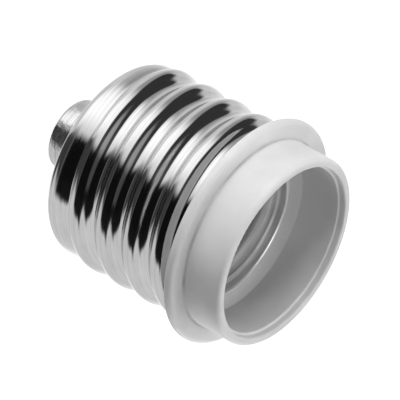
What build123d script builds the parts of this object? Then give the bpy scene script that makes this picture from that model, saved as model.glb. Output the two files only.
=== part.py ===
from build123d import *
from math import asin, atan, cos, degrees, sin, sqrt
import os

# Millimetres, +Z along the axis towards the mouth, Z = 0 on the end face of the base contact.

# Outer screw, lamp cap size E40: a round thread, two equal arcs that meet tangent in each pitch
cap_major_d = 39.5
cap_pitch = 6.35
cap_arc_r = 1.85
cap_sheet = 0.4

# Inner screw, lamp holder size E27, measured on the inside of its sheet
holder_major_d = 26.6
holder_pitch = 3.629
holder_arc_r = 1.025
holder_sheet = 0.35

# White moulding: collar and flange outside, sleeve and floor between the two screws
overall_h = 50.8
collar_d = 37.1
collar_h = 8.1
collar_round = 0.9
flange_d = 44.2
flange_t = 1.9
flange_round = 0.85
bore_d = 32.7
bore_depth = 9.6
mouth_d = 33.6
mouth_depth = 1.3
ledge_drop = 1.5
floor_t = 4.8
stub_d = 16.0
edge_round = 0.4
crease_round = 0.25
seat_round = 1.0

# Nose of the outer shell, turned inwards under the floor
nose_z = 10.1
nose_d = 38.3
nose_round = 2.3
nose_blend = 0.6
nose_blend_r = 1.2
runout_h = 2.1
thread_start_deg = 210.0

# Lip and cup of the inner shell
lip_flare = 0.45
lip_h = 1.7
cup_h = 4.3
cup_swell = 0.1
cup_round = 0.9
lip_round = 0.15

# Base contact: a drawn cup pressed over the end of the stub
contact_d = 14.0
contact_h = 7.0
contact_sheet = 0.5
contact_round = 1.1

# Sprung centre contact
plunger_d = 6.0
plunger_reach = 2.6
plunger_round = 1.2
plunger_collar_t = 1.2
plunger_collar_step = 1.2
guide_d = 4.8
guide_h = 3.0
floor_lip_t = 1.6
spring_wire_d = 0.6
spring_turns = 7

# Tubular rivets that hold both shells to the floor and join them electrically
rivet_d = 2.6
rivet_head_d = 4.2
rivet_head_h = 0.9
rivet_bore_d = 1.5
rivet_bore_h = 2.5
rivet_round = 0.6
rivet_count = 2

# Clearances, on the radius
sleeve_gap = 0.25
lip_gap = 0.15
running_gap = 0.05
chamber_gap = 0.25
hole_gap = 0.1

# Thread roots: the core cylinder stands proud by the first, and a ridge ends short by the second
root_proud = 0.04
root_short = 0.1

def thread_depth(pitch, arc_r):
    return 2 * arc_r - sqrt(4 * arc_r**2 - pitch**2 / 4)


def root_radius(major_d, pitch, arc_r, offset):
    return major_d / 2 - thread_depth(pitch, arc_r) + root_proud + offset


# Levels, Z
flange_top_z = overall_h - collar_h
flange_z = flange_top_z - flange_t
mouth_z = overall_h - mouth_depth
ledge_z = overall_h - bore_depth
sleeve_top_z = ledge_z - ledge_drop
lip_z = sleeve_top_z - lip_gap
shoulder_z = nose_z + cap_sheet
floor_z = shoulder_z + floor_t
floor_lip_z = floor_z - floor_lip_t
thread_start_z = nose_z + nose_round + cap_pitch / 2
plunger_top_z = floor_z + plunger_reach
plunger_collar_z = floor_lip_z - plunger_collar_t
guide_z = plunger_collar_z - guide_h
rivet_seat_z = floor_z + holder_sheet
rivet_top_z = rivet_seat_z + rivet_head_h
rivet_low_z = nose_z - rivet_head_h

# Radii
flange_r = flange_d / 2
collar_r = collar_d / 2
mouth_r = mouth_d / 2
bore_r = bore_d / 2
sleeve_r = root_radius(cap_major_d, cap_pitch, cap_arc_r, -cap_sheet) - sleeve_gap
holder_crest_r = holder_major_d / 2
lip_r = holder_crest_r + lip_flare
sleeve_bore_r = lip_r + holder_sheet + lip_gap
stub_r = stub_d / 2
contact_r = contact_d / 2
contact_inner_r = contact_r - contact_sheet
plunger_r = plunger_d / 2
plunger_hole_r = plunger_r + running_gap
plunger_collar_r = plunger_r + plunger_collar_step
chamber_r = plunger_collar_r + chamber_gap
guide_r = guide_d / 2
rivet_circle_r = (stub_r + holder_crest_r) / 2

# Coil, from the floor of the base contact to the plunger's collar
spring_r = (guide_r + chamber_r) / 2
spring_h = plunger_collar_z - contact_sheet - spring_wire_d


# Axial section of one crest with its flanks, moved outwards by offset
def thread_profile(major_d, pitch, arc_r, offset):
    crest_r = arc_r + offset
    root_r = arc_r - offset
    crest_c = major_d / 2 - arc_r
    root_c = major_d / 2 - thread_depth(pitch, arc_r) + arc_r
    flank = asin(pitch / (4 * arc_r))
    end = asin(root_short / root_r)
    mid = (flank + end) / 2
    crest = (crest_c + crest_r, 0)
    turn = (crest_c + crest_r * cos(flank), crest_r * sin(flank))
    bend = (root_c - root_r * cos(mid), pitch / 2 - root_r * sin(mid))
    edge = (root_c - root_r * cos(end), pitch / 2 - root_short)
    foot = edge[0] - arc_r / 4
    with BuildSketch(Plane.XZ) as profile:
        with BuildLine():
            ThreePointArc((turn[0], -turn[1]), crest, turn)
            ThreePointArc(turn, bend, edge)
            Polyline(edge, (foot, edge[1]), (foot, -edge[1]), (edge[0], -edge[1]))
            ThreePointArc((edge[0], -edge[1]), (bend[0], -bend[1]), (turn[0], -turn[1]))
        make_face()
    return profile.sketch


# Helical ridge from Z = 0 on the X axis, with a path that draws in by the cone angle
def ridge(major_d, pitch, arc_r, offset, height, cone=0.0):
    with BuildPart() as solid:
        with BuildLine() as path:
            Helix(pitch, height, major_d / 2 - arc_r, cone_angle=-cone)
        add(thread_profile(major_d, pitch, arc_r, offset))
        sweep(path=path.wires()[0], is_frenet=True)
    return solid.part


# Everything inside the outer shell's outer face, moved outwards by offset
def cap_core(offset):
    root_r = root_radius(cap_major_d, cap_pitch, cap_arc_r, offset)
    nose_r = nose_d / 2 + offset
    low_z = nose_z - offset
    bulge_z = nose_z + nose_round + nose_blend
    trim_z = flange_z + 2 * cap_pitch
    radii = [nose_round + offset, nose_blend_r + offset, cap_arc_r - offset]
    turns_h = flange_z - thread_start_z + cap_pitch / 2
    runout_drop = thread_depth(cap_pitch, cap_arc_r) + 2 * root_proud
    runout_deg = degrees(atan(runout_drop / runout_h))
    thread = (cap_major_d, cap_pitch, cap_arc_r, offset)
    with BuildPart() as core:
        with BuildSketch(Plane.XZ):
            with BuildLine():
                FilletPolyline(
                    (0, low_z),
                    (nose_r, low_z),
                    (nose_r, bulge_z),
                    (root_r, bulge_z + nose_r - root_r),
                    (root_r, trim_z),
                    radius=radii,
                )
                Polyline((root_r, trim_z), (0, trim_z), (0, low_z))
            make_face()
        revolve(axis=Axis.Z)
        with Locations(Location((0, 0, thread_start_z), (0, 0, thread_start_deg))):
            add(ridge(*thread, turns_h))
            add(ridge(*thread, runout_h, runout_deg).rotate(Axis.X, 180))
        split(bisect_by=Plane.XY.offset(flange_z), keep=Keep.BOTTOM)
    return core.part


# Everything inside the inner shell's inner face, moved outwards by offset
def holder_core(offset):
    root_r = root_radius(holder_major_d, holder_pitch, holder_arc_r, offset)
    cup_r = holder_crest_r + cup_swell + offset
    flare_r = lip_r + offset
    low_z = floor_z + holder_sheet - offset
    cup_z = floor_z + cup_h
    flare_z = lip_z - lip_h
    trim_z = lip_z + 2 * holder_pitch
    start_z = cup_z - holder_pitch / 2
    thread = (holder_major_d, holder_pitch, holder_arc_r, offset)
    with BuildPart() as core:
        with BuildSketch(Plane.XZ):
            with BuildLine():
                FilletPolyline((0, low_z), (cup_r, low_z), (cup_r, cup_z), radius=cup_round + offset)
                Polyline(
                    (cup_r, cup_z),
                    (root_r, cup_z + cup_r - root_r),
                    (root_r, flare_z + root_r - flare_r),
                    (flare_r, flare_z),
                    (flare_r, trim_z),
                    (0, trim_z),
                    (0, low_z),
                )
            make_face()
        revolve(axis=Axis.Z)
        with Locations((0, 0, start_z)):
            add(ridge(*thread, lip_z - start_z + holder_pitch / 2))
        split(bisect_by=Plane.XY.offset(lip_z), keep=Keep.BOTTOM)
    return core.part


# Circular edges of a builder's part at the given pairs of radius and height
def rims(builder, *places):
    near = 0.01
    circles = builder.edges().filter_by(GeomType.CIRCLE)
    return [
        edge
        for edge in circles
        for radius, height in places
        if abs(edge.radius - radius) < near and abs(edge.arc_center.Z - height) < near
    ]


with BuildPart() as outer_screw_shell:
    add(cap_core(0))
    add(cap_core(-cap_sheet), mode=Mode.SUBTRACT)
    with BuildSketch(Plane.XY.offset(nose_z)):
        Circle(stub_r + hole_gap)
        with PolarLocations(rivet_circle_r, rivet_count):
            Circle(rivet_d / 2 + hole_gap)
    extrude(amount=cap_sheet, mode=Mode.SUBTRACT)

with BuildPart() as inner_screw_shell:
    add(holder_core(holder_sheet))
    add(holder_core(0), mode=Mode.SUBTRACT)
    with BuildSketch(Plane.XY.offset(floor_z)):
        Circle(stub_r)
        with PolarLocations(rivet_circle_r, rivet_count):
            Circle(rivet_d / 2 + hole_gap)
    extrude(amount=holder_sheet, mode=Mode.SUBTRACT)
    fillet(rims(inner_screw_shell, (lip_r, lip_z), (lip_r + holder_sheet, lip_z)), lip_round)

with BuildPart() as insulator_body:
    with BuildSketch(Plane.XZ):
        with BuildLine():
            Polyline(
                (chamber_r, contact_sheet),
                (contact_inner_r, contact_sheet),
                (contact_inner_r, contact_h),
                (stub_r, contact_h),
                (stub_r, shoulder_z),
                (sleeve_r, shoulder_z),
                (sleeve_r, flange_z),
                (flange_r, flange_z),
                (flange_r, flange_top_z),
                (collar_r, flange_top_z),
                (collar_r, overall_h),
                (mouth_r, overall_h),
                (mouth_r, mouth_z),
                (bore_r, mouth_z),
                (bore_r, ledge_z),
                (sleeve_bore_r, sleeve_top_z),
                (sleeve_bore_r, floor_z),
                (plunger_hole_r, floor_z),
                (plunger_hole_r, floor_lip_z),
                (chamber_r, floor_lip_z),
                close=True,
            )
        make_face()
    revolve(axis=Axis.Z)
    with BuildSketch(Plane.XY.offset(shoulder_z)):
        with PolarLocations(rivet_circle_r, rivet_count):
            Circle(rivet_d / 2 + hole_gap)
    extrude(amount=floor_t, mode=Mode.SUBTRACT)
    fillet(rims(insulator_body, (flange_r, flange_z), (flange_r, flange_top_z)), flange_round)
    fillet(rims(insulator_body, (collar_r, overall_h)), collar_round)
    fillet(rims(insulator_body, (mouth_r, overall_h), (sleeve_bore_r, sleeve_top_z)), edge_round)
    fillet(rims(insulator_body, (bore_r, mouth_z), (collar_r, flange_top_z)), crease_round)
    fillet(rims(insulator_body, (sleeve_r, shoulder_z), (contact_inner_r, contact_sheet)), seat_round)

with BuildPart() as base_contact_cap:
    with BuildSketch(Plane.XZ):
        with BuildLine():
            FilletPolyline((0, 0), (contact_r, 0), (contact_r, contact_h), radius=contact_round)
            Line((contact_r, contact_h), (contact_inner_r, contact_h))
            FilletPolyline(
                (contact_inner_r, contact_h),
                (contact_inner_r, contact_sheet),
                (0, contact_sheet),
                radius=contact_round - contact_sheet,
            )
            Line((0, contact_sheet), (0, 0))
        make_face()
    revolve(axis=Axis.Z)

with BuildPart() as contact_plunger:
    with BuildSketch(Plane.XZ):
        with BuildLine():
            Polyline(
                (0, guide_z),
                (guide_r, guide_z),
                (guide_r, plunger_collar_z),
                (plunger_collar_r, plunger_collar_z),
                (plunger_collar_r, floor_lip_z),
                (plunger_r, floor_lip_z),
                (plunger_r, plunger_top_z),
                (0, plunger_top_z),
                close=True,
            )
        make_face()
    revolve(axis=Axis.Z)
    fillet(rims(contact_plunger, (plunger_r, plunger_top_z)), plunger_round)
    chamfer(rims(contact_plunger, (guide_r, guide_z)), edge_round)

with BuildPart() as contact_spring:
    with BuildLine() as coil:
        Helix(spring_h / spring_turns, spring_h, spring_r, center=(0, 0, contact_sheet + spring_wire_d / 2))
    with BuildSketch(Plane(origin=coil.line @ 0, z_dir=coil.line % 0)):
        Circle(spring_wire_d / 2)
    sweep(path=coil.wires()[0], is_frenet=True)

with BuildPart() as rivet:
    with BuildSketch(Plane.XZ):
        with BuildLine():
            Polyline(
                (0, rivet_low_z + rivet_bore_h),
                (rivet_bore_d / 2, rivet_low_z + rivet_bore_h),
                (rivet_bore_d / 2, rivet_low_z),
                (rivet_head_d / 2, rivet_low_z),
                (rivet_head_d / 2, nose_z),
                (rivet_d / 2, nose_z),
                (rivet_d / 2, rivet_seat_z),
                (rivet_head_d / 2, rivet_seat_z),
                (rivet_head_d / 2, rivet_top_z),
                (0, rivet_top_z),
                close=True,
            )
        make_face()
    revolve(axis=Axis.Z)
    fillet(rims(rivet, (rivet_head_d / 2, rivet_top_z), (rivet_head_d / 2, rivet_low_z)), rivet_round)
    fillet(rims(rivet, (rivet_bore_d / 2, rivet_low_z)), rivet_round / 2)

with BuildPart() as shell_rivets:
    with PolarLocations(rivet_circle_r, rivet_count):
        add(rivet.part)

pieces = {
    "insulator_body": insulator_body,
    "outer_screw_shell": outer_screw_shell,
    "inner_screw_shell": inner_screw_shell,
    "shell_rivets": shell_rivets,
    "base_contact_cap": base_contact_cap,
    "contact_plunger": contact_plunger,
    "contact_spring": contact_spring,
}
os.makedirs("parts", exist_ok=True)
for name, piece in pieces.items():
    piece.part.label = name
    export_step(piece.part, f"parts/{name}.step")
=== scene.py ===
import math

import bpy
from mathutils import Matrix, Vector


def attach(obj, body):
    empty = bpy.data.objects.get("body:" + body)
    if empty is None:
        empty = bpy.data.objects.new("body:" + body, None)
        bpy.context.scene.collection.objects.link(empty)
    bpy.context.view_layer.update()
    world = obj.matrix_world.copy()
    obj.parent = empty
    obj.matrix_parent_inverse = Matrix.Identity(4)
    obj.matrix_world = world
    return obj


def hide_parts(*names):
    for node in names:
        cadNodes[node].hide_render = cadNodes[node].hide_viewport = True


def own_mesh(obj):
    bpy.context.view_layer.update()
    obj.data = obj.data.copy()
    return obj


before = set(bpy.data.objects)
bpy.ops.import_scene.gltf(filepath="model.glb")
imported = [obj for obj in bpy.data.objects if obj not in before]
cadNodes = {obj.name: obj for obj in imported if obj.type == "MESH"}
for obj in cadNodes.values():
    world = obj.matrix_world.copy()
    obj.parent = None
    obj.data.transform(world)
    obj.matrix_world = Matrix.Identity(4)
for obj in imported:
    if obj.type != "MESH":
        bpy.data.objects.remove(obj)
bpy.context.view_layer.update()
scene = bpy.context.scene
mm = 0.001
upwards = Vector((0, 0, 1))
print("frame loaded:", ", ".join(sorted(cadNodes)))


# sRGB hex to the linear colour that the nodes take
def linearColour(hexColour):
    parts = [int(hexColour[i:i + 2], 16) / 255 for i in (1, 3, 5)]
    return [c / 12.92 if c <= 0.04045 else ((c + 0.055) / 1.055) ** 2.4 for c in parts] + [1.0]


# one node with its settings; feeds are values, sockets or nodes (first output), by place or by input
def addNode(tree, kind, feeds=(), **settings):
    node = tree.nodes.new(kind)
    for name, value in settings.items():
        setattr(node, name, value)
    for key, feed in feeds.items() if isinstance(feeds, dict) else enumerate(feeds):
        if isinstance(feed, bpy.types.Node):
            feed = feed.outputs[0]
        if isinstance(feed, bpy.types.NodeSocket):
            tree.links.new(feed, node.inputs[key])
        else:
            node.inputs[key].default_value = feed
    return node


# empty material with its shader wired to the output
def startMaterial(name):
    material = bpy.data.materials.new(name)
    material.use_nodes = True
    tree = material.node_tree
    tree.nodes.clear()
    shader = addNode(tree, "ShaderNodeBsdfPrincipled")
    addNode(tree, "ShaderNodeOutputMaterial", {"Surface": shader})
    return material, tree, shader


# what a finish varies over the surface
def feedShader(tree, shader, colour, rough, normal):
    for name, source in (("Base Color", colour), ("Roughness", rough), ("Normal", normal)):
        tree.links.new(source, shader.inputs[name])


# distance from the axis, height, and both as one point, for what goes round the axis
def turnedPlace(tree, place):
    axes = addNode(tree, "ShaderNodeSeparateXYZ", [place])
    flat = addNode(tree, "ShaderNodeCombineXYZ", {0: axes.outputs[0], 1: axes.outputs[1]})
    radius = addNode(tree, "ShaderNodeVectorMath", [flat], operation="LENGTH").outputs["Value"]
    height = axes.outputs[2]
    return radius, height, addNode(tree, "ShaderNodeCombineXYZ", {0: radius, 1: height})


# Moulded PBT: milky white and satin, with a fine spark-eroded grain and a slightly uneven tone
mouldingLook = {
    "name": "whitePbtSatinMoulded",
    "colour": "#f0f0f0",
    "shade": "#e7e7e7",
    "toneSize": 9.0,             # mm, patches of slower cooled resin
    "toneSpread": (0.35, 0.65),  # noise values that give the shade and the colour
    "grainSize": 0.35,           # mm, drawn coarser than the real 0.05 so that it shows
    "grainDepth": 0.006,         # mm
    "grainStrength": 0.35,
    "grainSpread": (0.3, 0.7),   # noise values that give the two ends of the roughness
    "roughness": (0.34, 0.46),
    "ior": 1.55,
    "crease": (18.55, 42.7),     # mm, radius and height of the corner between collar and flange
    "creaseReach": 0.55,         # mm, how far its painted shade line spreads
    "creaseShadeShare": (0.15, 0.8),   # share of painted shade in its lightest and darkest places
    "creaseSpread": (0.4, 0.62),  # noise values that give them
    "ledge": (39.8, 41.25),      # mm, lower and upper height of the ledge in the mouth
    "ledgeRadius": 16.34,        # mm, its outer edge
    "ledgeShadeShare": 0.24,           # share of painted shade on it
    # grey that the painted shade in the crease and on the ledge mixes in
    "paintedShadeTone": "#8f8f8f",
}


def mouldedPbt(look):
    material, tree, shader = startMaterial(look["name"])
    place = addNode(tree, "ShaderNodeTexCoord").outputs["Object"]
    patches = {"Vector": place, "Scale": 1 / (look["toneSize"] * mm), "Detail": 3}
    tone = addNode(tree, "ShaderNodeTexNoise", patches)
    specks = {"Vector": place, "Scale": 1 / (look["grainSize"] * mm), "Detail": 2}
    grain = addNode(tree, "ShaderNodeTexNoise", specks)
    ramp = addNode(tree, "ShaderNodeValToRGB", [tone])
    tones = (look["shade"], look["colour"])
    for stop, position, colour in zip(ramp.color_ramp.elements, look["toneSpread"], tones):
        stop.position, stop.color = position, linearColour(colour)
    # painted shade in the corner between collar and flange, stronger in some places than in others
    radius, height, spot = turnedPlace(tree, place)
    corner = [size * mm for size in look["crease"]] + [0.0]
    away = addNode(tree, "ShaderNodeVectorMath", [spot, corner], operation="DISTANCE").outputs["Value"]
    near = addNode(tree, "ShaderNodeMapRange", [away, 0.0, look["creaseReach"] * mm, 1.0, 0.0])
    patchy = addNode(tree, "ShaderNodeMapRange", [tone, *look["creaseSpread"], *look["creaseShadeShare"]])
    creasePaintedShade = addNode(tree, "ShaderNodeMath", [near, patchy], operation="MULTIPLY")
    # and painted shade lies evenly on the ledge at the bottom of the mouth
    low, high = [size * mm for size in look["ledge"]]
    band = [height, (low + high) / 2, (high - low) / 2]
    level = addNode(tree, "ShaderNodeMath", band, operation="COMPARE")
    within = addNode(tree, "ShaderNodeMath", [radius, look["ledgeRadius"] * mm], operation="LESS_THAN")
    onLedge = addNode(tree, "ShaderNodeMath", [level, within], operation="MULTIPLY")
    layers = [onLedge, look["ledgeShadeShare"], creasePaintedShade]
    paintedShade = addNode(tree, "ShaderNodeMath", layers, operation="MULTIPLY_ADD")
    # the moulding's colour darkened by the painted shade
    colours = {0: paintedShade, 6: ramp, 7: linearColour(look["paintedShadeTone"])}
    paintedShadeColour = addNode(tree, "ShaderNodeMix", colours, data_type="RGBA").outputs[2]
    rough = addNode(tree, "ShaderNodeMapRange", [grain, *look["grainSpread"], *look["roughness"]])
    relief = {"Height": grain, "Strength": look["grainStrength"], "Distance": look["grainDepth"] * mm}
    bump = addNode(tree, "ShaderNodeBump", relief)
    feedShader(tree, shader, paintedShadeColour, rough.outputs[0], bump.outputs[0])
    shader.inputs["IOR"].default_value = look["ior"]
    return material


# colour and gloss of a metal: its tool marks, mixed with cloudy patches in the surface
def metalTone(tree, look, place, marks):
    clouds = {"Vector": place, "Scale": 1 / (look["blotchSize"] * mm), "Detail": 4}
    blotch = addNode(tree, "ShaderNodeTexNoise", clouds)
    shares = {0: look["blotchShare"], 2: marks, 3: blotch}
    mixed = addNode(tree, "ShaderNodeMix", shares, data_type="FLOAT")
    ramp = addNode(tree, "ShaderNodeValToRGB", [mixed])
    tones = (look["shade"], look["colour"])
    for stop, position, colour in zip(ramp.color_ramp.elements, look["toneSpread"], tones):
        stop.position, stop.color = position, linearColour(colour)
    rough = addNode(tree, "ShaderNodeMapRange", [mixed, *look["glossSpread"], *look["roughness"]])
    return ramp.outputs[0], rough.outputs[0]


# Rolled nickel plate on brass: a mirror with fine marks that run with the thread from the forming rolls
brightLook = {
    "name": "brightNickelRolled",
    "colour": "#dcdcdc",
    "shade": "#cacaca",
    "toneSpread": (0.35, 0.6),    # noise values that give the shade and the colour
    "glossSpread": (0.62, 0.36),  # noise values that give the two ends of the roughness
    "roughness": (0.05, 0.15),
    "blotchSize": 6.0,            # mm across a cloudy patch
    "blotchShare": 0.35,          # how much the patches count beside the marks
    "streakSize": 0.28,           # mm across a mark
    "streakRun": 14.0,            # mm along a mark
    "streakDepth": 0.003,         # mm
    "streakStrength": 0.4,
    "streakTilt": 0.06,           # how far a mark turns the mirror round the axis
    "pitch": 6.35,                # mm, thread that the marks follow
    "radius": 19.0,               # mm
}
# The same plate inside the socket, never polished: pale grey with a broad soft sheen and no mirror
dullLook = dict(
    brightLook,
    name="dullNickelRolled",
    colour="#dadada",
    shade="#c4c4c4",
    roughness=(0.78, 0.9),
    streakSize=0.22,
    streakRun=9.0,
    streakTilt=0.0,
    pitch=3.629,
    radius=13.0,
)


def rolledNickel(look):
    material, tree, shader = startMaterial(look["name"])
    place = addNode(tree, "ShaderNodeTexCoord").outputs["Object"]
    axes = addNode(tree, "ShaderNodeSeparateXYZ", [place])
    around = addNode(tree, "ShaderNodeMath", [axes.outputs[1], axes.outputs[0]], operation="ARCTAN2")
    perHeight = 2 * math.pi / (look["pitch"] * mm)
    climb = addNode(tree, "ShaderNodeMath", [axes.outputs[2], perHeight], operation="MULTIPLY")
    track = addNode(tree, "ShaderNodeMath", [climb, around], operation="SUBTRACT")
    # two circles keep the marks whole round the seam: one across the thread, one round the axis
    across = look["pitch"] / (2 * math.pi) / look["streakSize"]
    along = look["radius"] / look["streakRun"]
    parts = []
    for angle, reach in ((track, across), (around, along)):
        for wave in ("COSINE", "SINE"):
            turn = addNode(tree, "ShaderNodeMath", [angle], operation=wave)
            parts.append(addNode(tree, "ShaderNodeMath", [turn, reach], operation="MULTIPLY"))
    spot = addNode(tree, "ShaderNodeCombineXYZ", parts[:3])
    streaks = {"Vector": spot, "W": parts[3], "Scale": 1.0, "Detail": 3}
    marks = addNode(tree, "ShaderNodeTexNoise", streaks, noise_dimensions="4D")
    colour, rough = metalTone(tree, look, place, marks)
    relief = {"Height": marks, "Strength": look["streakStrength"], "Distance": look["streakDepth"] * mm}
    bump = addNode(tree, "ShaderNodeBump", relief)
    # a mark also turns the mirror a little to the side, which feathers the ends of the reflections
    tilt = look["streakTilt"]
    lean = addNode(tree, "ShaderNodeMapRange", [marks, 0.0, 1.0, -tilt, tilt], clamp=False)
    sideways = addNode(tree, "ShaderNodeTangent", direction_type="RADIAL", axis="Z")
    nudge = addNode(tree, "ShaderNodeVectorMath", {0: sideways, "Scale": lean}, operation="SCALE")
    tilted = addNode(tree, "ShaderNodeVectorMath", [bump, nudge], operation="ADD")
    facing = addNode(tree, "ShaderNodeVectorMath", [tilted], operation="NORMALIZE")
    feedShader(tree, shader, colour, rough, facing.outputs[0])
    shader.inputs["Metallic"].default_value = 1.0
    return material


# Turned brass: warm yellow with fine rings left by the tool
brassLook = {
    "name": "contactBrassTurned",
    "colour": "#cfae66",
    "shade": "#a9863f",
    "toneSpread": (0.35, 0.62),   # noise values that give the shade and the colour
    "glossSpread": (0.64, 0.36),  # noise values that give the two ends of the roughness
    "roughness": (0.18, 0.36),
    "blotchSize": 3.0,            # mm across a cloudy patch
    "blotchShare": 0.4,           # how much the patches count beside the rings
    "ringSize": 0.12,             # mm between tool marks
    "ringDepth": 0.004,           # mm
    "ringStrength": 0.3,
    "scuffSize": 1.6,             # mm across a dent
    "scuffDepth": 0.0,            # mm, 0 leaves the piece without dents
}
# Drawn spring steel: plain grey wire with a soft gloss and faint marks
wireLook = dict(
    brassLook,
    name="springSteelDrawn",
    colour="#a7a9ab",
    shade="#7d7f82",
    ringSize=0.2,
    roughness=(0.22, 0.4),
)
# Drawn nickel plate: bright and smooth, with faint rings from the die
drawnLook = dict(
    brassLook,
    name="brightNickelDrawn",
    colour="#dcdcdc",
    shade="#c8c8c8",
    ringSize=0.3,
    roughness=(0.06, 0.17),
)
# Curled nickel edge: the bend breaks up the mirror into a satin line, and its colour is lighter than the
# plate's, a painted highlight that keeps the line light from all sides
curledLook = dict(
    drawnLook,
    name="satinNickelCurledPaintedLight",
    colour="#f8f8f8",
    shade="#eaeaea",
    roughness=(0.36, 0.48),
)
# Scuffed nickel: the drawn plate with knocks from handling, which break its reflections into flakes
scuffedLook = dict(
    drawnLook,
    name="brightNickelScuffed",
    shade="#a9a9a9",
    scuffSize=0.9,
    scuffDepth=0.08,
    roughness=(0.08, 0.3),
)


def ringedMetal(look):
    material, tree, shader = startMaterial(look["name"])
    place = addNode(tree, "ShaderNodeTexCoord").outputs["Object"]
    spot = turnedPlace(tree, place)[-1]
    grooves = {"Vector": spot, "Scale": 1 / (look["ringSize"] * mm), "Detail": 3}
    rings = addNode(tree, "ShaderNodeTexNoise", grooves)
    colour, rough = metalTone(tree, look, place, rings)
    knocks = {"Vector": place, "Scale": 1 / (look["scuffSize"] * mm), "Detail": 2}
    dents = addNode(tree, "ShaderNodeTexNoise", knocks)
    hollows = {"Height": dents, "Strength": 1.0, "Distance": look["scuffDepth"] * mm}
    dented = addNode(tree, "ShaderNodeBump", hollows)
    relief = {"Height": rings, "Strength": look["ringStrength"], "Distance": look["ringDepth"] * mm}
    bump = addNode(tree, "ShaderNodeBump", {**relief, "Normal": dented})
    feedShader(tree, shader, colour, rough, bump.outputs[0])
    shader.inputs["Metallic"].default_value = 1.0
    return material


whitePbt = mouldedPbt(mouldingLook)
brightNickel = rolledNickel(brightLook)
dullNickel = rolledNickel(dullLook)
drawnNickel = ringedMetal(drawnLook)
print("materials ready")


# new Geometry Nodes tree with its named inputs, and the sockets they come in by
def startTree(name, inputs):
    tree = bpy.data.node_groups.new(name, "GeometryNodeTree")
    tree.interface.new_socket("Geometry", in_out="OUTPUT", socket_type="NodeSocketGeometry")
    for kind, labels in inputs.items():
        for label in labels:
            tree.interface.new_socket(label, in_out="INPUT", socket_type="NodeSocket" + kind)
    return tree, addNode(tree, "NodeGroupInput").outputs


# every tree ends with smooth faces, real geometry and its finish
def endTree(tree, shape, finish):
    smooth = addNode(tree, "GeometryNodeSetShadeSmooth", {"Geometry": shape})
    real = addNode(tree, "GeometryNodeRealizeInstances", {"Geometry": smooth})
    done = addNode(tree, "GeometryNodeSetMaterial", {"Geometry": real, "Material": finish})
    addNode(tree, "NodeGroupOutput", [done])
    return tree


# runs the tree once and keeps the result as a plain mesh
def bakeTree(name, tree, values):
    carrier = bpy.data.objects.new(name + "Carrier", bpy.data.meshes.new(name + "Carrier"))
    scene.collection.objects.link(carrier)
    modifier = carrier.modifiers.new("tree", "NODES")
    modifier.node_group = tree
    for socket in tree.interface.items_tree:
        if socket.in_out == "INPUT" and socket.name in values:
            modifier[socket.identifier] = values[socket.name]
    evaluated = carrier.evaluated_get(bpy.context.evaluated_depsgraph_get())
    mesh = bpy.data.meshes.new_from_object(evaluated)
    mesh.name = name
    bpy.data.objects.remove(carrier)
    piece = bpy.data.objects.new(name, mesh)
    scene.collection.objects.link(piece)
    return piece


shellInputs = {
    "Float": (
        "Pitch", "Crest Radius", "Root Radius", "Arc Radius",            # thread
        "Hole Radius", "End Radius", "End Round", "End Z", "End Blend",  # turned-in end
        "Rim Z", "Lip Radius", "Lip Height",                             # open end
        "Start Z", "Start Turn", "Run Out",                              # where the thread begins
        "Side",                                                          # -1 faces outwards, 1 inwards
    ),
    "Int": ("Rows", "Columns"),
    "Material": ("Finish",),
}


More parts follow.
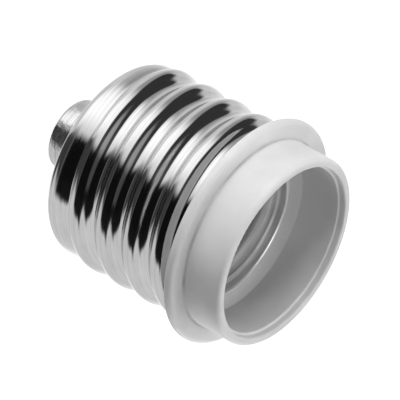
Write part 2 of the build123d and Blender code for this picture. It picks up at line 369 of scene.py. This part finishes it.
# a sheet of quads bent round the axis: turned-in end, rounded corner, then the wall with its thread
def screwShellTree():
    tree, size = startTree("rolledScrewShell", shellInputs)
    pitch, arc, root = size["Pitch"], size["Arc Radius"], size["Root Radius"]
    hole, endRadius, endRound = size["Hole Radius"], size["End Radius"], size["End Round"]
    rim, lipHeight = size["Rim Z"], size["Lip Height"]
    flatEnd, cornerEnd = 0.05, 0.14   # shares of the rows for the end's flat and its corner
    lipFrom, lipTo = -1.35, -0.65     # where the lip flares, in lip heights from the rim
    softFoot = 0.12                   # share of the arc's radius that rounds the foot of the thread
    seam = 0.002 * mm                 # points nearer than this are one

    grid = addNode(tree, "GeometryNodeMeshGrid", [1.0, 1.0, size["Rows"], size["Columns"]])
    place = addNode(tree, "GeometryNodeInputPosition")
    where = addNode(tree, "ShaderNodeSeparateXYZ", [place])
    row = addNode(tree, "ShaderNodeMath", [where.outputs[0], 0.5], operation="ADD")
    column = addNode(tree, "ShaderNodeMath", [where.outputs[1], 0.5], operation="ADD")
    turn = addNode(tree, "ShaderNodeMath", [column, size["Side"]], operation="MULTIPLY")
    angle = addNode(tree, "ShaderNodeMath", [turn, 2 * math.pi], operation="MULTIPLY")
    flat = addNode(tree, "ShaderNodeMapRange", [row, 0.0, flatEnd, 0.0, 1.0])
    corner = addNode(tree, "ShaderNodeMapRange", [row, flatEnd, cornerEnd, 0.0, math.pi / 2])
    wall = addNode(tree, "ShaderNodeMapRange", [row, cornerEnd, 1.0, 0.0, 1.0])
    onWall = addNode(tree, "ShaderNodeMath", [wall, 0.0], operation="GREATER_THAN")

    # height: level on the flat, up the corner's quarter circle, then up the wall
    wallZ = addNode(tree, "ShaderNodeMath", [size["End Z"], endRound], operation="ADD")
    wallHeight = addNode(tree, "ShaderNodeMath", [rim, wallZ], operation="SUBTRACT")
    dip = addNode(tree, "ShaderNodeMath", [corner], operation="COSINE")
    fall = addNode(tree, "ShaderNodeMath", [dip, endRound], operation="MULTIPLY")
    low = addNode(tree, "ShaderNodeMath", [wallZ, fall], operation="SUBTRACT")
    height = addNode(tree, "ShaderNodeMath", [wall, wallHeight, low], operation="MULTIPLY_ADD")

    # radius without the thread: flat, corner, blend down to the root, lip
    flatReach = addNode(tree, "ShaderNodeMath", [endRadius, endRound], operation="SUBTRACT")
    flatWidth = addNode(tree, "ShaderNodeMath", [flatReach, hole], operation="SUBTRACT")
    flatRadius = addNode(tree, "ShaderNodeMath", [flat, flatWidth, hole], operation="MULTIPLY_ADD")
    swing = addNode(tree, "ShaderNodeMath", [corner], operation="SINE")
    foot = addNode(tree, "ShaderNodeMath", [swing, endRound, flatRadius], operation="MULTIPLY_ADD")
    blendEnd = addNode(tree, "ShaderNodeMath", [wallZ, size["End Blend"]], operation="ADD")
    endStep = addNode(tree, "ShaderNodeMath", [endRadius, root], operation="SUBTRACT")
    blend = [height, wallZ, blendEnd, 0.0, endStep]
    drop = addNode(tree, "ShaderNodeMapRange", blend, interpolation_type="SMOOTHSTEP")
    bare = addNode(tree, "ShaderNodeMath", [foot, drop], operation="SUBTRACT")
    lipLow = addNode(tree, "ShaderNodeMath", [lipHeight, lipFrom, rim], operation="MULTIPLY_ADD")
    lipHigh = addNode(tree, "ShaderNodeMath", [lipHeight, lipTo, rim], operation="MULTIPLY_ADD")
    lipStep = addNode(tree, "ShaderNodeMath", [size["Lip Radius"], root], operation="SUBTRACT")
    lip = [height, lipLow, lipHigh, 0.0, lipStep]
    flare = addNode(tree, "ShaderNodeMapRange", lip, interpolation_type="SMOOTHSTEP")
    plain = addNode(tree, "ShaderNodeMath", [bare, flare], operation="ADD")

    # thread: distance from the nearest crest, then crest arc and root arc, which meet tangent half-way
    past = addNode(tree, "ShaderNodeMath", [turn, size["Start Turn"]], operation="SUBTRACT")
    fromStart = addNode(tree, "ShaderNodeMath", [past, 1.0], operation="FLOORED_MODULO")
    climb = [fromStart, pitch, size["Start Z"]]
    rise = addNode(tree, "ShaderNodeMath", climb, operation="MULTIPLY_ADD")
    offset = addNode(tree, "ShaderNodeMath", [height, rise], operation="SUBTRACT")
    halfPitch = addNode(tree, "ShaderNodeMath", [pitch, 0.5], operation="MULTIPLY")
    quarterPitch = addNode(tree, "ShaderNodeMath", [pitch, 0.25], operation="MULTIPLY")
    distance = addNode(tree, "ShaderNodeMath", [offset, halfPitch], operation="PINGPONG")
    toFlank = addNode(tree, "ShaderNodeMath", [distance, quarterPitch], operation="MINIMUM")
    beyond = addNode(tree, "ShaderNodeMath", [distance, quarterPitch], operation="MAXIMUM")
    pastFlank = addNode(tree, "ShaderNodeMath", [halfPitch, beyond], operation="SUBTRACT")
    arcSquare = addNode(tree, "ShaderNodeMath", [arc, 2.0], operation="POWER")
    sags = []
    for reach in (toFlank, pastFlank):
        square = addNode(tree, "ShaderNodeMath", [reach, reach], operation="MULTIPLY")
        rest = addNode(tree, "ShaderNodeMath", [arcSquare, square], operation="SUBTRACT")
        level = addNode(tree, "ShaderNodeMath", [rest], operation="SQRT")
        sags.append(addNode(tree, "ShaderNodeMath", [arc, level], operation="SUBTRACT"))
    depth = addNode(tree, "ShaderNodeMath", [size["Crest Radius"], root], operation="SUBTRACT")
    fromRoot = addNode(tree, "ShaderNodeMath", [sags[1], sags[0]], operation="SUBTRACT")
    ridge = addNode(tree, "ShaderNodeMath", [depth, 0.5, fromRoot], operation="MULTIPLY_ADD")

    # the ridge grows out of the wall over the run-out
    turns = addNode(tree, "ShaderNodeMath", [offset, pitch], operation="DIVIDE")
    crest = addNode(tree, "ShaderNodeMath", [turns], operation="ROUND")
    along = addNode(tree, "ShaderNodeMath", [crest, fromStart], operation="ADD")
    before = addNode(tree, "ShaderNodeMath", [size["Run Out"], -1.0], operation="MULTIPLY")
    growth = [along, before, 0.0, 0.0, 1.0]
    grown = addNode(tree, "ShaderNodeMapRange", growth, interpolation_type="SMOOTHSTEP")
    threaded = addNode(tree, "ShaderNodeMath", [ridge, grown, root], operation="MULTIPLY_ADD")
    soft = addNode(tree, "ShaderNodeMath", [arc, softFoot], operation="MULTIPLY")
    joined = addNode(tree, "ShaderNodeMath", [plain, threaded, soft], operation="SMOOTH_MAX")
    gain = addNode(tree, "ShaderNodeMath", [joined, plain], operation="SUBTRACT")
    radius = addNode(tree, "ShaderNodeMath", [gain, onWall, plain], operation="MULTIPLY_ADD")

    sides = []
    for wave in ("COSINE", "SINE"):
        part = addNode(tree, "ShaderNodeMath", [angle], operation=wave)
        sides.append(addNode(tree, "ShaderNodeMath", [part, radius], operation="MULTIPLY"))
    spot = addNode(tree, "ShaderNodeCombineXYZ", [*sides, height])
    bent = addNode(tree, "GeometryNodeSetPosition", {"Geometry": grid, "Position": spot})
    closed = addNode(tree, "GeometryNodeMergeByDistance", {"Geometry": bent, "Distance": seam})
    return endTree(tree, closed, size["Finish"])


# lengths in millimetres, turns as shares of one; the thread's two arcs have the same radius
outerShell = {
    "pitch": 6.35,
    "crestRadius": 19.75,
    "arcRadius": 1.85,
    "holeRadius": 8.1,
    "endRadius": 19.15,
    "endRound": 2.3,
    "endZ": 10.1,
    "endBlend": 6.5,
    "rimZ": 40.8,
    "lipRadius": None,     # no lip: the rim goes straight up to the flange
    "lipHeight": 0.5,
    "startTurn": 210 / 360,
    "runOut": 0.33,
    "outside": True,
    "rows": 184,
    "columns": 193,
    "sheet": 0.4,
}
innerShell = {
    "pitch": 3.629,
    "crestRadius": 13.3,
    "arcRadius": 1.025,
    "holeRadius": 8.0,
    "endRadius": 13.4,
    "endRound": 0.9,
    "endZ": 15.65,
    "endBlend": 3.6,
    "rimZ": 39.55,
    "lipRadius": 13.75,
    "lipHeight": 1.7,
    "startTurn": 0.0,
    "runOut": 0.3,
    "outside": False,
    "rows": 220,
    "columns": 145,
    "sheet": 0.35,
}
sheetEdge = {
    "round": 0.4,      # share of the sheet's thickness
    "segments": 3,
    "sharpness": 75,   # degrees, edges sharper than this are rounded
}


def rolledShell(name, values, finish):
    pitch, arc = values["pitch"], values["arcRadius"]
    depth = 2 * arc - math.sqrt(4 * arc**2 - pitch**2 / 4)
    root = values["crestRadius"] - depth
    lip = root if values["lipRadius"] is None else values["lipRadius"]
    sizes = {
        "Pitch": pitch,
        "Crest Radius": values["crestRadius"],
        "Root Radius": root,
        "Arc Radius": arc,
        "Hole Radius": values["holeRadius"],
        "End Radius": values["endRadius"],
        "End Round": values["endRound"],
        "End Z": values["endZ"],
        "End Blend": values["endBlend"],
        "Rim Z": values["rimZ"],
        "Lip Radius": lip,
        "Lip Height": values["lipHeight"],
        "Start Z": values["endZ"] + values["endRound"] + pitch / 2,
    }
    settings = {key: size * mm for key, size in sizes.items()}
    settings["Start Turn"] = values["startTurn"]
    settings["Run Out"] = values["runOut"]
    settings["Side"] = -1.0 if values["outside"] else 1.0
    settings["Rows"], settings["Columns"] = values["rows"], values["columns"]
    settings["Finish"] = finish
    piece = bakeTree(name, shellTree, settings)
    wall = piece.modifiers.new("sheet", "SOLIDIFY")
    wall.thickness = values["sheet"] * mm
    wall.offset = -1.0
    wall.use_even_offset = True
    edge = piece.modifiers.new("rolledEdge", "BEVEL")
    edge.width = sheetEdge["round"] * values["sheet"] * mm
    edge.segments = sheetEdge["segments"]
    edge.limit_method, edge.angle_limit = "ANGLE", math.radians(sheetEdge["sharpness"])
    return piece


shellTree = screwShellTree()
capShell = rolledShell("rolledCapShell", outerShell, brightNickel)
holderShell = rolledShell("rolledHolderShell", innerShell, dullNickel)
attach(capShell, "adapter")
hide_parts("outer_screw_shell")
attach(holderShell, "adapter")
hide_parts("inner_screw_shell")
print("screw shells rolled:", len(capShell.data.polygons), len(holderShell.data.polygons), "quads")


# the inner shell's edge is curled over, a light line between the thread and the white ledge, lit by its
# lamps and lightened further by a painted highlight in its finish
curledRim = {
    "ringRadius": 14.08,   # mm
    "curlRadius": 0.34,    # mm
    "height": 39.45,       # mm, middle of the curl
    "steps": (144, 16),    # round the ring, round the curl
}
rimInputs = {
    "Float": ("Ring Radius", "Curl Radius", "Height"),
    "Int": ("Ring Steps", "Curl Steps"),
    "Material": ("Finish",),
}


def curledRimTree():
    tree, size = startTree("curledRim", rimInputs)
    rounds = []
    for part in ("Ring", "Curl"):
        sizes = {"Resolution": size[part + " Steps"], "Radius": size[part + " Radius"]}
        rounds.append(addNode(tree, "GeometryNodeCurvePrimitiveCircle", sizes))
    tube = addNode(tree, "GeometryNodeCurveToMesh", {"Curve": rounds[0], "Profile Curve": rounds[1]})
    lift = addNode(tree, "ShaderNodeCombineXYZ", {2: size["Height"]})
    raised = addNode(tree, "GeometryNodeTransform", {"Geometry": tube, "Translation": lift})
    return endTree(tree, raised, size["Finish"])


rimSizes = {
    "Ring Radius": curledRim["ringRadius"] * mm,
    "Curl Radius": curledRim["curlRadius"] * mm,
    "Height": curledRim["height"] * mm,
    "Ring Steps": curledRim["steps"][0],
    "Curl Steps": curledRim["steps"][1],
    "Finish": ringedMetal(curledLook),
}
holderRim = bakeTree("holderShellRim", curledRimTree(), rimSizes)
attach(holderRim, "adapter")
print("rim curled:", len(holderRim.data.polygons), "quads")


# the coil under the centre contact, made here as a wound wire in place of the solid
contactCoil = {
    "coilRadius": 3.425,   # mm, to the middle of the wire
    "wireRadius": 0.3,     # mm
    "foot": 0.5,           # mm, floor of the base contact
    "top": 12.5,           # mm, underside of the centre contact's collar
    "travel": 2.0,         # mm, how far the contact goes down
    "turns": 7,
    "steps": (40, 12),     # round a turn, round the wire
}
coilInputs = {
    "Float": ("Coil Radius", "Wire Radius", "Coil Height", "Foot", "Turns"),
    "Int": ("Turn Steps", "Wire Steps"),
    "Material": ("Finish",),
}


def contactCoilTree():
    tree, size = startTree("contactCoil", coilInputs)
    path = {
        "Resolution": size["Turn Steps"],
        "Rotations": size["Turns"],
        "Start Radius": size["Coil Radius"],
        "End Radius": size["Coil Radius"],
        "Height": size["Coil Height"],
        "Reverse": True,   # winds the same way as the solid
    }
    spiral = addNode(tree, "GeometryNodeCurveSpiral", path)
    section = {"Resolution": size["Wire Steps"], "Radius": size["Wire Radius"]}
    wire = addNode(tree, "GeometryNodeCurvePrimitiveCircle", section)
    parts = {"Curve": spiral, "Profile Curve": wire, "Fill Caps": True}
    tube = addNode(tree, "GeometryNodeCurveToMesh", parts)
    lift = addNode(tree, "ShaderNodeCombineXYZ", {2: size["Foot"]})
    raised = addNode(tree, "GeometryNodeTransform", {"Geometry": tube, "Translation": lift})
    return endTree(tree, raised, size["Finish"])


coilLength = contactCoil["top"] - contactCoil["foot"]
coilSizes = {
    "Coil Radius": contactCoil["coilRadius"] * mm,
    "Wire Radius": contactCoil["wireRadius"] * mm,
    "Coil Height": (coilLength - 2 * contactCoil["wireRadius"]) * mm,
    "Foot": (contactCoil["foot"] + contactCoil["wireRadius"]) * mm,
    "Turns": float(contactCoil["turns"]),
    "Turn Steps": contactCoil["steps"][0],
    "Wire Steps": contactCoil["steps"][1],
    "Finish": ringedMetal(wireLook),
}
coil = bakeTree("contactCoil", contactCoilTree(), coilSizes)
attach(coil, "adapter")
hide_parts("contact_spring")
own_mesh(coil)
print("coil wound:", len(coil.data.polygons), "faces")


for nodeName, finish in (
    ("insulator_body", whitePbt),
    ("base_contact_cap", ringedMetal(scuffedLook)),
    ("shell_rivets", drawnNickel),
    ("contact_plunger", ringedMetal(brassLook)),
):
    slots = cadNodes[nodeName].data.materials
    slots.clear()
    slots.append(finish)
print("finishes set")


view = {
    "azimuth": 287.3,      # degrees, where the camera stands round the axis
    "tilt": 60.96,         # degrees between the axis and the line of sight
    "roll": 29.38,         # degrees, the axis leans this far below level in the picture
    "distance": 775.0,     # mm
    "focalPixels": 4355.0,
    "imageSize": 400,      # pixels
    "anchorZ": 42.4,       # mm, point of the axis that lands on anchorPixel
    "anchorPixel": (249.6, 233.0),
    "sensor": 36.0,        # mm
    "clip": (0.01, 20.0),  # m
}
# unit vectors along the floor: towards the camera, and to its left
cameraTurn = math.radians(view["azimuth"])
towardsCamera = Vector((math.cos(cameraTurn), math.sin(cameraTurn), 0))
towardsLeft = towardsCamera.cross(upwards)


def placeCamera(values):
    tilt, roll = math.radians(values["tilt"]), math.radians(values["roll"])
    back = towardsCamera * math.sin(tilt) + upwards * math.cos(tilt)
    rise = upwards * math.sin(tilt) - towardsCamera * math.cos(tilt)
    right = rise * math.cos(roll) + towardsLeft * math.sin(roll)
    down = rise * math.sin(roll) - towardsLeft * math.cos(roll)
    middle = values["imageSize"] / 2
    scale = values["distance"] / values["focalPixels"]
    shiftX, shiftY = [(pixel - middle) * scale for pixel in values["anchorPixel"]]
    anchor = upwards * values["anchorZ"]
    spot = (anchor - right * shiftX - down * shiftY + back * values["distance"]) * mm
    data = bpy.data.cameras.new("photoCamera")
    data.sensor_width = values["sensor"]
    data.lens = values["focalPixels"] / values["imageSize"] * values["sensor"]
    data.clip_start, data.clip_end = values["clip"]
    camera = bpy.data.objects.new("photoCamera", data)
    turned = Matrix((right, -down, back)).transposed().to_4x4()
    camera.matrix_world = Matrix.Translation(spot) @ turned
    scene.collection.objects.link(camera)
    scene.camera = camera


placeCamera(view)
print("camera placed")

# what the bright metal mirrors: cards round the set, named for where they show, each over those before it
# azimuth in degrees from the camera round by its left, elevation above level, lean in degrees per degree up
cards = (
    # name, azimuth from, to, elevation from, to, soft edge sideways and upwards, lean, level
    ("rightGrey", 66, 130, -24, 14, 10, 12, 0, 0.4),
    ("upperDark", -86, 134, 26, 120, 8, 4, 0, 0.03),
    ("upperHaze", 6, 70, 30, 120, 12, 10, 0, 0.08),
    ("zenithLow", -110, 20, 62, 120, 10, 8, 0, 0.08),
    ("zenith", 8, 150, 58, 120, 14, 8, 0, 0.42),
    ("rightDark", 62, 162, -6, 56, 9, 5, -1.6, 0.042),
    ("rightWhite", 139.2, 205, -8, 60, 5, 6, 0.55, 0.78),
    ("farWhite", 148, 212, -46, 6, 12, 8, 0, 1.1),
    ("softbox", 16, 66, -64, 23, 17, 5, 0, 1.45),
    ("underDark", -180, 4, -120, -63, 6, 6, 0, 0.06),
    ("lowDark", -58, 6, -90, -27, 12, 5, 0, 0.055),
    ("blackFlag", -69, 2, -28, 62, 6, 4, 0, 0.006),
    ("flagWing", -82, -59, -15, 95, 5, 6, -0.25, 0.01),
)
setLight = {
    "ground": 0.78,    # level where no card stands
    "ambient": 0.04,   # what the matt surfaces get from all sides
}


def studioWorld(values, zones):
    world = bpy.data.worlds.new("studio")
    world.use_nodes = True
    tree = world.node_tree
    tree.nodes.clear()
    ray = addNode(tree, "ShaderNodeTexCoord").outputs["Generated"]
    parts = []
    for way in (towardsLeft, towardsCamera):
        along = addNode(tree, "ShaderNodeVectorMath", [ray, way], operation="DOT_PRODUCT")
        parts.append(along.outputs["Value"])
    bearing = addNode(tree, "ShaderNodeMath", parts, operation="ARCTAN2")
    azimuth = addNode(tree, "ShaderNodeMath", [bearing], operation="DEGREES")
    lift = addNode(tree, "ShaderNodeSeparateXYZ", [ray]).outputs[2]
    slope = addNode(tree, "ShaderNodeMath", [lift], operation="ARCSINE")
    elevation = addNode(tree, "ShaderNodeMath", [slope], operation="DEGREES")
    level = values["ground"]
    for name, azFrom, azTo, elFrom, elTo, azEdge, elEdge, lean, glow in zones:
        above = addNode(tree, "ShaderNodeMath", [elevation, (elFrom + elTo) / 2], operation="SUBTRACT")
        leaning = [above, lean, (azFrom + azTo) / 2]
        middle = addNode(tree, "ShaderNodeMath", leaning, operation="MULTIPLY_ADD")
        beside = addNode(tree, "ShaderNodeMath", [azimuth, middle], operation="SUBTRACT")
        away = addNode(tree, "ShaderNodeMath", [beside, 180.0, -180.0], operation="WRAP")
        shares = []
        for offset, span, edge in ((away, azTo - azFrom, azEdge), (above, elTo - elFrom, elEdge)):
            reach = addNode(tree, "ShaderNodeMath", [offset], operation="ABSOLUTE")
            fade = [reach, span / 2 + edge, span / 2 - edge, 0.0, 1.0]
            shares.append(addNode(tree, "ShaderNodeMapRange", fade, interpolation_type="SMOOTHSTEP"))
        inside = addNode(tree, "ShaderNodeMath", shares, operation="MULTIPLY")
        layers = {0: inside, 2: level, 3: glow}
        level = addNode(tree, "ShaderNodeMix", layers, data_type="FLOAT", label=name)
    white = (1, 1, 1, 1)
    mirrored = addNode(tree, "ShaderNodeBackground", {"Color": white, "Strength": level})
    plain = addNode(tree, "ShaderNodeBackground", {"Color": white, "Strength": values["ambient"]})
    glossy = addNode(tree, "ShaderNodeLightPath").outputs["Is Glossy Ray"]
    both = addNode(tree, "ShaderNodeMixShader", [glossy, plain, mirrored])
    addNode(tree, "ShaderNodeOutputWorld", {"Surface": both})
    scene.world = world


studioWorld(setLight, cards)
print("cards set:", len(cards))

# Matt white paper: even and without gloss, lit until it runs into the background
floorLook = {
    "name": "whitePaperMatt",
    "colour": "#f6f6f6",
    "roughness": 0.9,
    "glow": 0.8,           # own light, so that no edge of the paper shows
    "fibreSize": 0.8,      # mm, coarser than real fibres so that it shows
    "fibreDepth": 0.02,    # mm
    "fibreStrength": 0.1,
    "size": 4.0,           # m
    "drop": 0.05,          # mm below the base contact, so that the two faces never coincide
}


def paperFloor(look):
    half, level = look["size"] / 2, -look["drop"] * mm
    mesh = bpy.data.meshes.new("paperFloor")
    corners = [(x * half, y * half, level) for x, y in ((-1, -1), (1, -1), (1, 1), (-1, 1))]
    mesh.from_pydata(corners, [], [(0, 1, 2, 3)])
    material, tree, shader = startMaterial(look["name"])
    place = addNode(tree, "ShaderNodeTexCoord").outputs["Object"]
    fibres = {"Vector": place, "Scale": 1 / (look["fibreSize"] * mm), "Detail": 4}
    fibre = addNode(tree, "ShaderNodeTexNoise", fibres)
    relief = {"Height": fibre, "Strength": look["fibreStrength"], "Distance": look["fibreDepth"] * mm}
    bump = addNode(tree, "ShaderNodeBump", relief)
    tree.links.new(bump.outputs[0], shader.inputs["Normal"])
    shader.inputs["Base Color"].default_value = linearColour(look["colour"])
    shader.inputs["Roughness"].default_value = look["roughness"]
    shader.inputs["Emission Color"].default_value = (1, 1, 1, 1)
    shader.inputs["Emission Strength"].default_value = look["glow"]
    mesh.materials.append(material)
    floor = bpy.data.objects.new("paperFloor", mesh)
    scene.collection.objects.link(floor)
    floor.visible_glossy = False   # the metal mirrors the cards, not the paper
    floor.visible_diffuse = False
    floor.visible_shadow = False


paperFloor(floorLook)
print("floor laid")

# soft boxes round the set: most light only what is matt, since the bright metal mirrors the cards,
# and the last two light only the metal in the socket, where the cards hardly reach
softLights = (
    # name, direction to it: left, near, up; distance and size mm, power W, only for the socket
    ("softKey", (0.71, 0.71, 0.0), 900, 500, 6.2, False),
    ("farBounce", (-0.71, -0.71, 0.0), 900, 500, 7.0, False),
    ("softTop", (0.3, -0.3, 0.91), 900, 500, 3.3, False),
    ("overhead", (0.0, 0.0, 1.0), 900, 300, 0.3, False),
    ("frontTop", (-0.3, 0.3, 0.91), 900, 500, 1.7, False),
    ("lowFill", (0.0, 0.82, -0.57), 900, 500, 1.2, False),
    ("flangeBounce", (0.4, 0.2, -0.9), 900, 500, 2.0, False),
    ("mouthLight", (0.0, 0.64, 0.77), 400, 300, 0.64, True),
    ("socketTop", (0.0, 0.0, 1.0), 400, 240, 0.13, True),
)
lampAim = upwards * 30 * mm   # the point of the axis that all of them face
socketMetal = bpy.data.collections.new("socketMetal")
for piece in (holderShell, holderRim, cadNodes["contact_plunger"], cadNodes["shell_rivets"]):
    socketMetal.objects.link(piece)
for name, (toLeft, toNear, toUp), distance, size, power, socketOnly in softLights:
    data = bpy.data.lights.new(name, "AREA")
    data.energy, data.size = power, size * mm
    lamp = bpy.data.objects.new(name, data)
    way = (towardsLeft * toLeft + towardsCamera * toNear + upwards * toUp).normalized()
    turned = way.to_track_quat("Z", "Y").to_matrix().to_4x4()
    lamp.matrix_world = Matrix.Translation(lampAim + way * distance * mm) @ turned
    lamp.visible_diffuse, lamp.visible_glossy = not socketOnly, socketOnly
    if socketOnly:
        lamp.light_linking.receiver_collection = socketMetal
    scene.collection.objects.link(lamp)
scene.view_settings.view_transform = "Standard"
print("lights set:", len(softLights))
